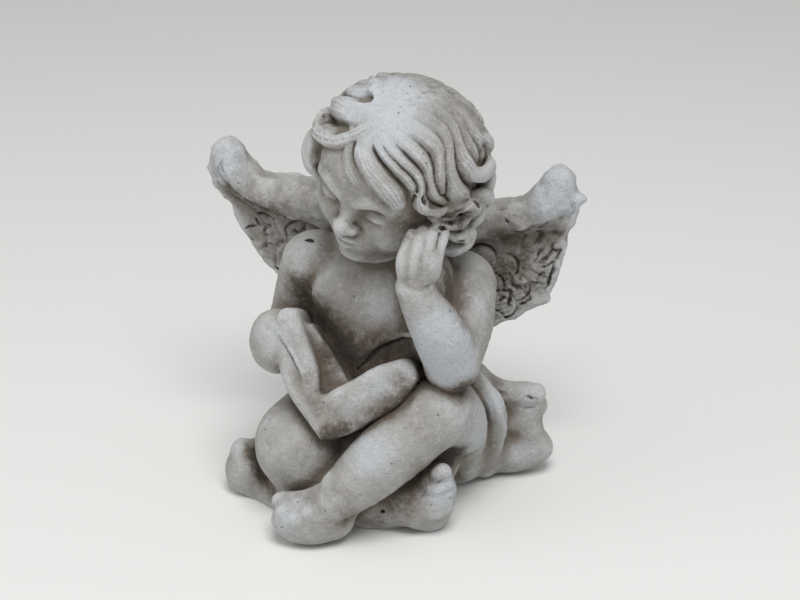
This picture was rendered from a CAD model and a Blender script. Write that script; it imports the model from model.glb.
import math

import bpy
import numpy as np
from mathutils import Matrix, Vector


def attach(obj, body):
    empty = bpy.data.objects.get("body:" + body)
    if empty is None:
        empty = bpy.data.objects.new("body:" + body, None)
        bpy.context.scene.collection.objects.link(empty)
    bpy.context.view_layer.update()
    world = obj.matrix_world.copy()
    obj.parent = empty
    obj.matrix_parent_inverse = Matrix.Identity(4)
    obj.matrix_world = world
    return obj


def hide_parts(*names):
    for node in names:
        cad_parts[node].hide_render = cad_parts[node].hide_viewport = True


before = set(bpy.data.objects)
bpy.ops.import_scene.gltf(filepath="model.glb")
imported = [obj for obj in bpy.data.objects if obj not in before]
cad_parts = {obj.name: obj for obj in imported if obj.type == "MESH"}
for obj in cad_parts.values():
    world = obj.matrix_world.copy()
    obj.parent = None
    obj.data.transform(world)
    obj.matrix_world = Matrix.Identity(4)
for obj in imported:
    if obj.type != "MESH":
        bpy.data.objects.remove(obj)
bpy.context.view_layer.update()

# A seated winged child in cast stone, leaning its head on one hand over an open book.
# The figure faces -Y, its own left is +X, and sizes are in millimetres until the mesh is made.
# Its forms are joined as distances on a grid, carved, and then given a skin where the distance is zero.
HEAD = {"centre": (8, -12, 196), "skull": (40, 44, 42), "mean": 42.0, "bow": 12, "roll": 15, "turn": -23}
SHOULDER = {"right": (-43, 2, 127), "left": (40, 2, 122), "radius": 19}
ELBOW = {"right": (-58, 10, 84), "left": (43, -42, 96)}
WRIST = {"right": (-61, -26, 94), "left": (25, -55, 145)}
HIP = {"right": (-24, 2, 32), "left": (26, 2, 40)}
KNEE = {"right": (-39, -46, 39), "left": (34, -48, 66)}
ANKLE = {"right": (26, -57, 15), "left": (-13, -80, 25)}
WING = {"plane": 42, "thickness": 11}
SCALE = {"radius": 8.2, "step": 12, "barb": 2.6}
BOOK = {
    "spine": (-23, -75.6, 58.8), "lean": 25.5, "turn": 3.8, "depth": 36, "leaf": 14, "left": 70, "right": 56,
}

# The grid: its step, its two corners, and the distance that stands for far away
GRAIN = 0.8
LOW = np.array((-124.0, -106.0, -4 * GRAIN))
HIGH = np.array((110.0, 74.0, 254.0))
COUNTS = np.rint((HIGH - LOW) / GRAIN).astype(int) + 1
FAR = 30
# How far round a shape its distances are worked out
REACH = 10.0
MOST_TRIANGLES = 196000
# Unevenness of the cast surface, and of the wings: height, size and seed
UNEVEN = ((0.35, 9, 1), (0.22, 3.5, 2))
UNEVEN_WING = ((0.7, 6, 3), (0.5, 3, 4))
# Entries to a degree in the map of the hair
MAP_PER_DEGREE = 2

# Where brown dirt has stayed and where rain has bleached the stone: x, y, z, spread and strength
EARTH = (
    # right wing
    (-97, 35, 154, 7, 0.9), (-88, 33, 147, 7, 0.5), (-78, 33, 146, 7, 0.5), (-70, 31, 148, 6, 0.6),
    (-85, 36, 120, 12, 0.5),
    # left wing
    (66, 33, 136, 7, 0.5), (75, 34, 137, 7, 0.4), (57, 32, 142, 7, 0.9), (86, 36, 142, 7, 0.7),
    (58, 36, 116, 12, 0.9),
    # chest, armpit and under the chin
    (-22, -27, 99, 10, 0.9), (-30, -20, 111, 8, 0.8), (-44, -12, 112, 9, 1.0), (-48, -14, 122, 7, 0.6),
    (-8, -34, 92, 8, 1.2), (6, -34, 97, 8, 1.2), (-36, -15, 131, 8, 0.4), (6, -42, 147, 9, 1.0),
    (-12, -26, 130, 8, 0.4),
    # left arm
    (44, -44, 135, 8, 0.9), (49, -50, 126, 6, 0.6), (45, -28, 131, 8, 1.0), (38, -30, 144, 8, 0.8),
    (52, -46, 86, 7, 0.9),
    # under the hair
    (17, -54, 174, 7, 0.7), (26, -47, 181, 6, 0.9), (38, -46, 187, 6, 0.6), (-30, -34, 186, 5, 0.6),
    (50, -32, 176, 8, 0.35), (44, -34, 168, 7, 0.5), (53, -26, 188, 8, 0.3), (44, -42, 178, 6, 0.5),
    # book
    (-28, -40, 88, 11, 1.2), (-34, -60, 88, 5, 0.6), (-27, -66, 77, 5, 0.6), (20, -52, 88, 6, 0.7),
    (-17, -74, 61, 5, 1.1), (-8, -71, 66, 6, 0.8), (4, -67, 72, 6, 0.8), (15, -62, 79, 6, 0.8),
    (22, -55, 86, 5, 0.8), (12, -60, 72, 7, 0.4),
    # legs and ground
    (-70, -36, 27, 5, 1.1), (-66, -42, 21, 5, 1.2), (-61, -46, 15, 5, 1.1), (-54, -54, 13, 5, 0.9),
    (20, -66, 20, 9, 0.9), (30, -64, 38, 8, 1.1), (37, -44, 42, 8, 1.2),
    (-5, -88, 20, 6, 0.9), (3, -68, 8, 7, 0.6), (-42, -48, 62, 8, 0.6), (-8, -74, 40, 8, 0.4),
    (-20, -64, 52, 8, 0.8),
    # cloth
    (41, -40, 36, 8, 1.1), (44, -40, 47, 6, 0.8), (58, -16, 34, 7, 0.4), (59, -10, 24, 7, 0.5),
    (55, -26, 77, 6, 0.8), (46, -50, 87, 7, 0.7), (67, 0, 46, 6, 1.1), (60, 4, 62, 5, 0.8),
)
BLEACHED = (
    # wing tips
    (87, 32, 168, 11, 1.3), (94, 34, 159, 8, 0.8), (-103, 30, 173, 11, 1.0),
    # shoulder, left forearm, legs and feet
    (-50, -12, 135, 10, 0.3), (39, -62, 122, 13, 1.3), (46, -58, 102, 11, 1.4), (-52, -60, 50, 11, 0.2),
    (5, -78, 56, 14, 0.7), (-36, -92, 20, 10, 0.7), (43, -62, 28, 9, 1.1),
    # cloth and left upper arm
    (48, -42, 62, 13, 0.6), (54, -32, 46, 10, 0.6), (52, -24, 122, 8, 0.8), (62, -16, 62, 7, 0.7),
    (78, 10, 48, 8, 0.6),
    # hair, low cloth, chest and cheek
    (6, -26, 238, 18, 1.1), (8, -50, 222, 12, 0.6), (76, 6, 17, 9, 0.5), (0, -30, 120, 10, 0.6),
    (-30, -42, 165, 8, 0.5),
    # right hand and book
    (-60, -50, 108, 9, 0.5), (-8, -66, 77, 7, 0.5), (2, -62, 84, 7, 0.6), (-46, -54, 108, 7, 0.5),
    (12, -59, 90, 7, 0.5), (-38, -60, 96, 6, 0.4),
)


def window(low, high):
    """The grid points between two corners: their slices, and x, y and z as arrays that combine by shape."""
    first = np.clip(np.floor((np.asarray(low) - LOW) / GRAIN).astype(int), 0, COUNTS - 2)
    last = np.clip(np.ceil((np.asarray(high) - LOW) / GRAIN).astype(int) + 1, first + 2, COUNTS)
    where = tuple(slice(a, b) for a, b in zip(first, last))
    lines = [(LOW[i] + GRAIN * np.arange(first[i], last[i])).astype(np.float32) for i in range(3)]
    return where, (lines[0][:, None, None], lines[1][None, :, None], lines[2][None, None, :])


def smooth(points, per=6):
    """A Catmull-Rom line through points of any number of columns, with `per` samples to each stretch."""
    p = np.asarray(points, float)
    p = np.vstack((2 * p[0] - p[1], p, 2 * p[-1] - p[-2]))
    t = np.linspace(0, 1, per, endpoint=False)[:, None]
    parts = [
        0.5 * (2 * b + (c - a) * t + (2 * a - 5 * b + 4 * c - d) * t**2 + (3 * b - a - 3 * c + d) * t**3)
        for a, b, c, d in zip(p[:-3], p[1:-2], p[2:-1], p[3:])
    ]
    return np.vstack(parts + [p[-2][None]])


def turned(*degrees):
    """The rotation that turns about x, then y, then z, in degrees."""
    angles = [math.radians(a) for a in degrees]
    (cx, sx), (cy, sy), (cz, sz) = [(math.cos(a), math.sin(a)) for a in angles]
    about_x = np.array(((1, 0, 0), (0, cx, -sx), (0, sx, cx)))
    about_y = np.array(((cy, 0, sy), (0, 1, 0), (-sy, 0, cy)))
    about_z = np.array(((cz, -sz, 0), (sz, cz, 0), (0, 0, 1)))
    return about_z @ about_y @ about_x


def eased(near, far, value):
    """0 below near, 1 above far and a smooth rise between."""
    t = np.clip((value - near) / (far - near), 0, 1)
    return t * t * (3 - 2 * t)


def beside(a, b, x, y, z):
    """How far along the straight step from a to b each grid point lies, from 0 to 1, and the square of its
    distance from there."""
    step = b - a
    px, py, pz = x - a[0], y - a[1], z - a[2]
    t = np.clip((px * step[0] + py * step[1] + pz * step[2]) / max(step @ step, 1e-9), 0, 1)
    return t, (px - t * step[0]) ** 2 + (py - t * step[1]) ** 2 + (pz - t * step[2]) ** 2


def tapered(ends, at, last):
    """The share of its width that a lock has at one of its points: less at its first and its last."""
    return ends[0] if at == 0 else ends[1] if at == last else 1


# How much dirt each place of the grid holds in its carved lines, from 0 to 1
INK = np.zeros(COUNTS, np.float32)


class Clay:
    """A body held as distances on the grid: below zero inside, above zero outside, in millimetres."""

    def __init__(self):
        self.d = np.full(COUNTS, FAR, np.float32)

    def add(self, where, other, blend):
        """Joins a shape with a fillet: the lesser distance, less a parabola as wide as blend."""
        here = self.d[where]
        ease = np.maximum(blend - np.abs(here - other), 0)
        self.d[where] = np.minimum(here, other) - ease * ease / (4 * blend)

    def cut(self, where, other, blend):
        """Takes a shape away: the greater of the distance and the other's negative, with the edge rounded."""
        here = self.d[where]
        ease = np.maximum(blend - np.abs(here + other), 0)
        self.d[where] = np.maximum(here, -other) + ease * ease / (4 * blend)

    def take(self, other, blend):
        """Joins another body with a fillet."""
        near = np.argwhere((other.d < FAR - 1).any(axis=(1, 2)))[:, 0]
        where = (slice(near.min(), near.max() + 1), slice(None), slice(None))
        self.add(where, other.d[where], blend)

    def mass(self, centre, radii, turn=(0, 0, 0), blend=6, hollow=False):
        """A ball stretched to three radii: with p the place in its own axes, a = |p / r| and b = |p / r^2|,
        the distance is a (a - 1) / b, which is true at the surface."""
        axes = turn if isinstance(turn, np.ndarray) else turned(*turn)
        c = np.asarray(centre, float)
        r = np.asarray(radii, float)
        half = np.sqrt(((axes * r) ** 2).sum(1)) + REACH
        where, (x, y, z) = window(c - half, c + half)
        p = [axes[0, i] * (x - c[0]) + axes[1, i] * (y - c[1]) + axes[2, i] * (z - c[2]) for i in range(3)]
        a = np.sqrt(sum((p[i] / r[i]) ** 2 for i in range(3)))
        b = np.sqrt(sum((p[i] / r[i] ** 2) ** 2 for i in range(3))) + 1e-6
        (self.cut if hollow else self.add)(where, a * (a - 1) / b, blend)

    def limb(self, points, blend=4, per=6):
        """A round sweep through points x, y, z, radius: the least of the distances to its short cones."""
        line = smooth(points, per)
        margin = line[:, 3].max() + REACH
        where, (x, y, z) = window(line[:, :3].min(0) - margin, line[:, :3].max(0) + margin)
        least = None
        for a, b in zip(line[:-1], line[1:]):
            t, square = beside(a[:3], b[:3], x, y, z)
            gap = np.sqrt(square)
            gap -= a[3] + (b[3] - a[3]) * t
            least = gap if least is None else np.minimum(least, gap)
        self.add(where, least, blend)

    def band(self, points, away, strands):
        """A flattened sweep through points x, y, z, half width. Each grid point is put in the axes of the
        nearest place on the line, across and away, and the distance is that of an ellipse there. Strands are
        furrows along it: the depth is groove times (1 - |sin|)^2 of the place across, which wavers along the
        line."""
        flat, groove, waver, blend = 0.8, 1.3, 0.2, 0.8
        line = smooth(points, 5)
        centre, width = line[:, :3], line[:, 3]
        forward = np.gradient(centre, axis=0)
        forward /= np.linalg.norm(forward, axis=1)[:, None]
        side = np.cross(forward, away(centre))
        side /= np.linalg.norm(side, axis=1)[:, None]
        up = np.cross(side, forward)
        margin = width.max() + REACH * 0.7
        where, (x, y, z) = window(centre.min(0) - margin, centre.max(0) + margin)
        least, index, share = None, None, None
        for i, (a, b) in enumerate(zip(centre[:-1], centre[1:])):
            t, gap = beside(a, b, x, y, z)
            if least is None:
                least, index, share = gap, np.zeros(gap.shape, np.int32), t
                continue
            nearer = gap < least
            least = np.where(nearer, gap, least)
            index[nearer] = i
            share = np.where(nearer, t, share)

        def here(values):
            values = values.astype(np.float32)
            return values[index] * (1 - share) + values[index + 1] * share

        half = here(width)
        q = [x - here(centre[:, 0]), y - here(centre[:, 1]), z - here(centre[:, 2])]
        s, u, f = [sum(here(v[:, i]) * q[i] for i in range(3)) for v in (side, up, forward)]
        tall = half * flat
        a = np.sqrt((s / half) ** 2 + (u / tall) ** 2 + (f / tall) ** 2)
        b = np.sqrt((s / half**2) ** 2 + (u / tall**2) ** 2 + (f / tall**2) ** 2) + 1e-6
        d = a * (a - 1) / b
        if strands:
            along = (index + share) / (len(centre) - 1)
            place = s / half + waver * np.sin(7 * along + waver * 40)
            furrow = (1 - np.abs(np.sin(math.pi * strands * (place + 1) / 2))) ** 2
            d = d + groove * furrow * eased(-0.2, 0.5, u / tall) * np.minimum(half / width.max() * 1.3, 1)
        self.add(where, d, blend)

    def slope(self, points):
        """How fast the distance grows along x, y and z at each point."""
        return np.stack([sample(self.d, points + e) - sample(self.d, points - e) for e in np.eye(3)], 1) / 2

    def furrow(self, points, width, depth, ends=0.35, ink=0.0):
        """A trench carved along the surface, or a ridge where depth is below zero. The points move down the
        slope of the distances onto the surface. A tube of radius width, with its middle further out by
        width - depth, is then cut away or added. It is thinner at its ends. Ink is how much dirt it holds."""
        p = smooth(points)
        for _ in range(6):
            rise = self.slope(p)
            p -= 0.8 * (sample(self.d, p) / ((rise**2).sum(1) + 1e-3))[:, None] * rise
        out = self.slope(p)
        out /= np.linalg.norm(out, axis=1)[:, None] + 1e-3
        middle = p + out * (width - abs(depth)) * (1 if depth > 0 else -1)
        margin = width + 3
        where, (x, y, z) = window(middle.min(0) - margin, middle.max(0) + margin)
        last = len(p) - 2
        nearest, stained = 99.0, 0.0
        for i in range(len(p) - 1):
            fade = min(1.0, ends + (1 - ends) * min(i, last - i) / max(last * 0.3, 1))
            gap = np.sqrt(beside(middle[i], middle[i + 1], x, y, z)[1])
            nearest = np.minimum(nearest, gap - width * fade)
            stained = np.maximum(stained, np.clip((1.3 * fade * width - gap) / (0.35 * width), 0, 1))
        (self.cut if depth > 0 else self.add)(where, nearest, 0.8)
        INK[where] = np.maximum(INK[where], ink * stained)


def sample(values, points):
    """The grid's values at any points, blended from the eight grid points around each."""
    place = np.clip((np.asarray(points) - LOW) / GRAIN, 0, COUNTS - 1.001)
    first = place.astype(int)
    t = place - first
    total = 0
    for corner in np.ndindex(2, 2, 2):
        share = np.prod(np.where(corner, t, 1 - t), axis=1)
        i, j, k = (first + corner).T
        total = total + share * values[i, j, k]
    return total


def cloudy(cell, seed):
    """Smooth noise from -1 to 1: random numbers on a coarse grid, eased from each to the next."""
    cells = tuple(((HIGH - LOW) / cell).astype(int) + 3)
    rough = np.random.default_rng(seed).uniform(-1, 1, cells).astype(np.float32)
    for axis in range(3):
        place = np.arange(COUNTS[axis]) * GRAIN / cell
        first = place.astype(int)
        t = eased(0, 1, place - first).astype(np.float32)
        t = t.reshape([-1 if i == axis else 1 for i in range(3)])
        rough = np.take(rough, first, axis) * (1 - t) + np.take(rough, first + 1, axis) * t
    return rough


def trunk():
    """Belly, chest, neck, seat and the low mass under it."""
    body = Clay()
    body.mass((-2, 2, 86), (41, 38, 40), blend=12)
    body.mass((-2, 5, 118), (44, 31, 36), (-8, 6, 0), blend=12)
    body.mass((2, 4, 150), (26, 24, 24), blend=12)
    body.mass((0, 10, 40), (54, 46, 44), blend=10)
    body.mass((-4, 14, 8), (56, 46, 20), blend=8)
    body.mass((-20, -19, 121), (18, 7, 13), blend=14)
    body.mass((14, -19, 121), (18, 7, 13), blend=14)
    return body


def right_arm():
    """The arm that hangs down to the book, with the closed hand behind its edge."""
    arm = Clay()
    r = SHOULDER["radius"]
    arm.limb([(*SHOULDER["right"], r), (-51, 6, 108, 16), (*ELBOW["right"], 14)])
    arm.limb([(*ELBOW["right"], 14), (*WRIST["right"], 12)])
    arm.mass((-54.5, -41, 98.5), (14.5, 17, 18), (0, 0, 20), blend=5)
    return arm


def left_arm():
    """The arm with its elbow on the knee, and four fingers bent against the cheek."""
    arm = Clay()
    r = SHOULDER["radius"]
    arm.limb([(*SHOULDER["left"], r), (44, -20, 110, 17.5), (*ELBOW["left"], 15)])
    arm.mass((32, -14, 104), (18, 26, 24), blend=6)
    arm.mass((27, -28, 132), (13, 24, 22), blend=6)
    fore = Clay()
    fore.limb([(*ELBOW["left"], 15), (38, -52, 118, 14.6), (30, -55, 134, 11.2), (*WRIST["left"], 10)])
    fore.mass((28.5, -54.5, 157), (10.5, 7.5, 12.5), (0, 12, 0), blend=3)
    for points in (
        [(21, -58.5, 152, 4.2), (20.5, -59.5, 160, 4.2), (21.5, -56, 167, 3.8), (22.5, -50, 172, 3.2)],
        [(25.5, -59, 153, 4.2), (25.6, -60, 161, 4), (27, -55.5, 169, 3.8), (28, -48, 174, 3.2)],
        [(30, -57, 153, 4.2), (30.8, -57.5, 161, 4), (32, -52.5, 169, 3.6), (33, -45, 174, 3)],
        [(34, -53.5, 152, 4), (35.4, -53, 159, 3.8), (37, -48.5, 166, 3.4), (38.5, -42, 170, 2.8)],
    ):
        fore.limb(points, blend=1.0)
    arm.take(fore, 2)
    return arm


def legs():
    """The crossed legs: the right one lies flat, and the left one lies over it."""
    right = Clay()
    right.limb([(*HIP["right"], 28), (-31, -24, 40, 28), (*KNEE["right"], 27)])
    right.limb([(-36, -50, 28, 20), (-4, -54, 18, 17), (*ANKLE["right"], 13)], blend=4)
    right.mass((35, -54, 19), (13, 13, 22), (0, 8, 0), blend=4)
    right.limb([(43, -58, 34, 4.2), (42, -60, 39, 4.4), (38.5, -62.5, 38, 3.4)], blend=3)
    for z in (30, 24.5, 19.5, 15):
        right.limb([(45, -60, z + 1, 3), (40, -64, z, 3.2), (36, -65, z - 0.5, 2.6)], blend=2)
    left = Clay()
    left.limb([(*HIP["left"], 24), (31, -24, 56, 21), (*KNEE["left"], 18)])
    left.limb([(*KNEE["left"], 18), (11, -66, 47, 18), (*ANKLE["left"], 12.5)], blend=5)
    left.mass((-26, -83, 14), (21, 12.5, 14), (0, 0, 12), blend=5)
    left.mass((-13, -76, 15), (10, 10.5, 12.5), blend=5)
    left.limb([(-40, -78, 19, 7), (-30, -80, 22, 7), (-18, -78, 27, 7)], blend=4)
    left.mass((-14, -80, 36), (5, 5, 5), blend=4)
    toes = [(-44, -79.5, 21.5), (-39.5, -89, 20.6), (-32, -91.8, 19), (-25.5, -90, 22.6), (-31.5, -86, 24.2)]
    for toe in toes:
        left.mass(toe, (4.6, 4.4, 4.4), blend=2)
    right.take(left, 2)
    right.mass((0, -30, 30), (46, 32, 30), blend=3)
    right.mass((-6, -34, 6), (50, 32, 18), blend=3)
    return right


def drapery():
    """Cloth over the left thigh: two long folds, and a tail that flares into two lobes."""
    cloth = Clay()
    for points in (
        [(46, -36, 76, 7), (51, -31, 60, 9), (50, -22, 42, 9.5), (43, -2, 10, 9)],
        [(52, -18, 76, 4.5), (60, -15, 62, 6), (62, -9, 48, 6.5), (60, -4, 34, 7), (54, 5, 8, 7)],
        [(44, 2, 64, 9), (62, 9, 54, 7.5), (81, 14, 53, 6)],
        [(48, 8, 42, 14), (64, 15, 38, 12), (82, 17, 44, 6)],
        [(48, 14, 20, 18), (68, 18, 15, 15), (82, 20, 15, 9.5)],
        [(44, -42, 68, 10), (47, -38, 58, 11), (47, -32, 46, 10)],
        [(74, 15, 50, 7), (75, 16, 38, 9), (78, 18, 22, 9)],
        [(-44, 2, 20, 18), (-58, -20, 16, 17), (-73, -34, 12, 15)],
        [(-66, -34, 6, 12), (-46, -46, 6, 14), (-30, -54, 6, 14)],
        [(-30, 40, 26, 14), (0, 50, 20, 14), (34, 42, 24, 14)],
    ):
        cloth.limb(points, blend=5)
    cloth.mass((-79, -33, 24), (6, 7, 6), blend=4)
    cloth.mass((69, -1, 42), (5, 6, 8), (0, 20, 0), blend=2, hollow=True)
    cloth.mass((44, 4, 38), (18, 26, 36), blend=4)
    return cloth


# The lines carved into the joined body, or raised on it where the depth is below zero: points, width, depth
# and how much dirt they hold
CARVED = (
    # hem at the waist: a flat ribbon and the dark line under it
    ([(-14, -34, 84), (-7, -35, 93), (2, -36, 100), (12, -37, 104), (22, -36, 107)], 2.4, -1.6, 0),
    ([(-13, -35, 80), (-5, -36, 89), (3, -36, 96.5), (13, -37, 100.5), (23, -36, 103.5)], 1.2, 1.5, 0.8),
    # crease of the left wrist
    ([(19, -62, 152), (22, -63, 149.5), (26, -64, 148), (31, -63, 147.5), (36, -57, 149), (38, -54, 153)],
     1.8, 0.8, 0.2),
    # chip on the right shoulder, and two pits low in front
    ([(-46.5, -5, 143.5), (-44, -5, 144), (-41.5, -6, 144)], 1.1, 2.0, 1),
    ([(10, -70, 16), (12, -70, 16)], 1.0, 2.0, 1),
    ([(9, -68, 8), (11, -68, 8)], 1.0, 2.0, 1),
    # the edge of a page, the line beside it, and the dark end of the book under the elbow
    ([(-58, -46, 112), (-51, -51, 110), (-42, -56, 101), (-36, -60, 92), (-31, -64, 80), (-28, -68, 73)],
     1.4, -0.9, 0),
    ([(-57, -48, 109), (-50, -53, 107), (-41, -58, 98), (-35, -62, 89), (-30, -66, 78)], 0.9, 0.8, 0.4),
    ([(24, -50, 88), (23, -44, 82), (21, -42, 76)], 1.4, 2.0, 1),
    # folds of the cloth
    ([(56, -12, 78), (62, -8, 70), (67, -2, 62), (70, 2, 56)], 3.0, 1.6, 0.4),
    ([(76, 6, 54), (78, 7, 54.4), (80, 8, 53), (83, 8, 52.6)], 0.8, 0.8, 0.8),
    ([(74, 6, 47), (78, 8, 46.5), (84, 10, 47)], 1.0, 0.8, 0.4),
    ([(57, -20, 75), (62, -20, 67), (65, -17, 56), (67, -11, 44), (66, -6, 34), (60, 1, 15)], 2.0, -1.2, 0),
    ([(-77, -33, 32), (-70, -40, 33), (-63, -50, 36)], 2.4, 1.4, 0.3),
    # ridges of the curls over the left ear
    ([(26, -57, 197), (29, -56, 191), (32, -51, 186), (37, -47, 185), (43, -40, 185)], 1.8, -1.2, 0),
    ([(52, -29, 188), (48, -32, 184), (45, -39, 184), (41, -44, 183), (35, -49, 183)], 2.2, -1.6, 0),
    ([(37, -49, 180), (43, -41, 178), (48, -37, 180), (52, -30, 182), (54, -27, 177), (54, -27, 172),
      (51, -27, 168)], 2.2, -1.7, 0),
    ([(37, -50, 178), (40, -40, 174), (44, -30, 171), (49, -27, 172)], 2.0, -1.5, 0),
    ([(38, -48, 175), (38, -38, 169), (40, -30, 165), (45, -27, 163), (49, -26, 166)], 2.0, -1.5, 0),
    ([(42, -28, 161), (48, -26, 158), (45, -27, 154), (39, -28, 153)], 2.0, -1.3, 0),
    ([(52, -30, 190), (57, -28, 186), (57, -27, 181), (54, -27, 176)], 2.2, -1.5, 0),
    # dark gaps between them
    ([(31, -55, 197), (30, -55, 194), (32, -54, 191)], 1.6, 2.0, 0.8),
    ([(37, -48, 181.5), (43, -42, 180.5), (47, -38, 182.5), (51, -31, 185)], 1.2, 1.5, 0.7),
    ([(38, -49, 179.3), (42, -38, 175.8), (47, -33, 175.5), (50, -29, 177.5)], 1.5, 1.9, 0.9),
    ([(38, -50, 176.5), (39, -36, 171), (43, -29, 167.3), (48, -27, 168.6)], 1.2, 1.5, 0.8),
    ([(42, -30, 162), (44, -28, 161.5), (46, -27, 160.5)], 1.3, 1.6, 0.8),
    ([(52, -29, 187), (54, -28, 184), (55, -28, 181)], 1.8, 2.0, 0.8),
    # crease between the right thigh and the cloth in front of it
    ([(-71, -34, 28), (-67, -42, 23), (-62, -44, 16), (-54, -53, 13)], 5.0, 1.8, 0),
)


def outline_gap(corners, x, z):
    """Signed distance in a plane to a closed outline: the least distance to a side, negative where a ray
    crosses the outline an odd number of times."""
    least, odd = 1e9, False
    p = np.asarray(corners, float)
    for (ax, az), (bx, bz) in zip(p, np.roll(p, -1, 0)):
        ex, ez = bx - ax, bz - az
        t = np.clip(((x - ax) * ex + (z - az) * ez) / (ex * ex + ez * ez), 0, 1)
        least = np.minimum(least, np.hypot(x - ax - t * ex, z - az - t * ez))
        level = (az > z) != (bz > z)
        odd = odd ^ (level & (x < ax + (z - az) * ex / (ez if ez else 1e-9)))
    return np.where(odd, -least, least).astype(np.float32)


def slab(flat, height, half, edge):
    """The plate between two planes with an outline: both distances grown by the edge radius and joined
    round."""
    a, b = flat + edge, np.abs(height) - half + edge
    return np.minimum(np.maximum(a, b), 0) + np.hypot(np.maximum(a, 0), np.maximum(b, 0)) - edge


def book():
    """The open book, a thick V seen from its tail: two leaves that meet at the spine, with a lower block of
    pages between them. Two waves of different lengths wear its outline and its face uneven."""
    body = Clay()
    left, right, leaf = BOOK["left"], BOOK["right"], BOOK["leaf"]
    outline = [
        (0, 0), (-0.28 * left, 0.38 * left), (-0.42 * left, 0.84 * left), (-0.36 * left, 0.98 * left),
        (-0.26 * left, left), (-0.2 * left, 0.93 * left), (-0.06 * left, 0.56 * left), (0, 1.75 * leaf),
        (0.3 * right, 0.61 * right), (0.6 * right, 0.78 * right), (0.76 * right, 0.83 * right),
        (0.88 * right, 0.75 * right), (0.88 * right, 0.58 * right), (0.64 * right, 0.31 * right),
        (0.2 * right, 0.03 * right),
    ]
    spine = np.array(BOOK["spine"])
    axes = turned(90 - BOOK["lean"], 0, BOOK["turn"])
    across, up, out = axes[:, 0], axes[:, 1], axes[:, 2]
    before, beyond = (50, 20, 40), (70, 70, 90)
    where, (x, y, z) = window(spine - before, spine + beyond)
    place = (x - spine[0], y - spine[1], z - spine[2])
    u, v, n = [sum(a[i] * place[i] for i in range(3)) for a in (across, up, out)]
    flat = outline_gap(smooth(outline + outline[:1], 4)[:-1], u, v)
    half = BOOK["depth"] / 2
    worn = 1.2 * np.sin(v / 9 + 1) + 0.8 * np.sin(u / 5 + v / 7)
    body.add(where, slab(flat + 0.35 * worn, n + half + 0.5 * worn, half, 5), 0.5)
    pages = outline_gap([(-24, 60), (-14, 46), (-2, 22), (12, 22), (14, 30), (2, 48), (-10, 62)], u, v)
    body.add(where, slab(pages, n + 24, 12, 2), 3)
    return body


# Each wing in the plane of x and z, by these rows. Outline: its corners. Roll: the thick leading edge, with
# its radius and how far behind the plane it lies. Bumps: swellings on the edge, with their radius. Feathers:
# where the scale feathers lie, from one place outwards at a tilt. Hatch: middle, half width, half height,
# number and depth of the short strokes. Grooves, strokes and scratches: carved lines.
RIGHT_WING = {
    "outline": [
        (-16, 146), (-51, 158), (-84, 160), (-95, 174), (-103, 183), (-112, 175), (-115, 165), (-112, 154),
        (-103, 144), (-99, 135), (-91, 120), (-83, 108), (-73, 100), (-50, 94), (-24, 94),
    ],
    "roll": [
        (-103, 174, 9, -1), (-98, 163, 11, -2), (-84, 153, 11.5, -3), (-66, 151, 12, -4),
        (-44, 149, 14, -6), (-18, 140, 17, -11),
    ],
    "side": -1,
    "bumps": [(-82, 159, 5), (-72, 160, 4), (-64, 160.5, 4.5), (-55, 158, 4.5), (-95, 139, 3), (-88, 125, 3)],
    "feather_tilt": 38,
    "feather_from": (-58, 124),
    "feathers": lambda x, z: False,
    "hatch": (-82, 124, 12, 12, 22, 0.9),
    "grooves": [
        [(-107, 164), (-103, 160), (-97, 154), (-92, 151), (-82, 147), (-74, 144)],
        [(-110, 156), (-103, 150), (-96, 146), (-88, 141), (-84, 138)],
    ],
    "strokes": [
        [(-84, 137), (-80, 140), (-73, 142), (-66, 142)], [(-86, 138), (-82, 136), (-77, 135)],
        [(-69, 140), (-69, 136)], [(-76, 133), (-81, 131), (-82, 127), (-81, 122)],
        [(-85, 119), (-81, 121), (-77, 121)], [(-64, 123), (-70, 123), (-74, 121), (-76, 116), (-75, 108)],
        [(-47, 140), (-54, 138), (-59, 135), (-65, 134), (-68, 131), (-68, 126)], [(-57, 134), (-57, 127)],
        [(-54, 134), (-49, 131)], [(-92, 130), (-87, 131)], [(-86, 136), (-84, 132)],
        [(-65, 131), (-62, 129), (-58, 132)], [(-76, 107), (-72, 105)],
    ],
    "scratches": [
        [(-105, 174), (-107, 167), (-106, 162)], [(-103, 176), (-104, 169), (-101, 163)],
        [(-101, 164), (-95, 157), (-87, 151), (-80, 147), (-72, 147)], [(-88, 127), (-86, 123)],
        [(-90, 129), (-88, 124)], [(-79, 128), (-75, 132)], [(-80, 125), (-75, 129)],
        [(-79, 123), (-73, 127)], [(-73, 117), (-67, 122)], [(-73, 114), (-68, 117)],
        [(-84, 118), (-78, 114)], [(-84, 115), (-79, 111)],
    ],
}
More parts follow.
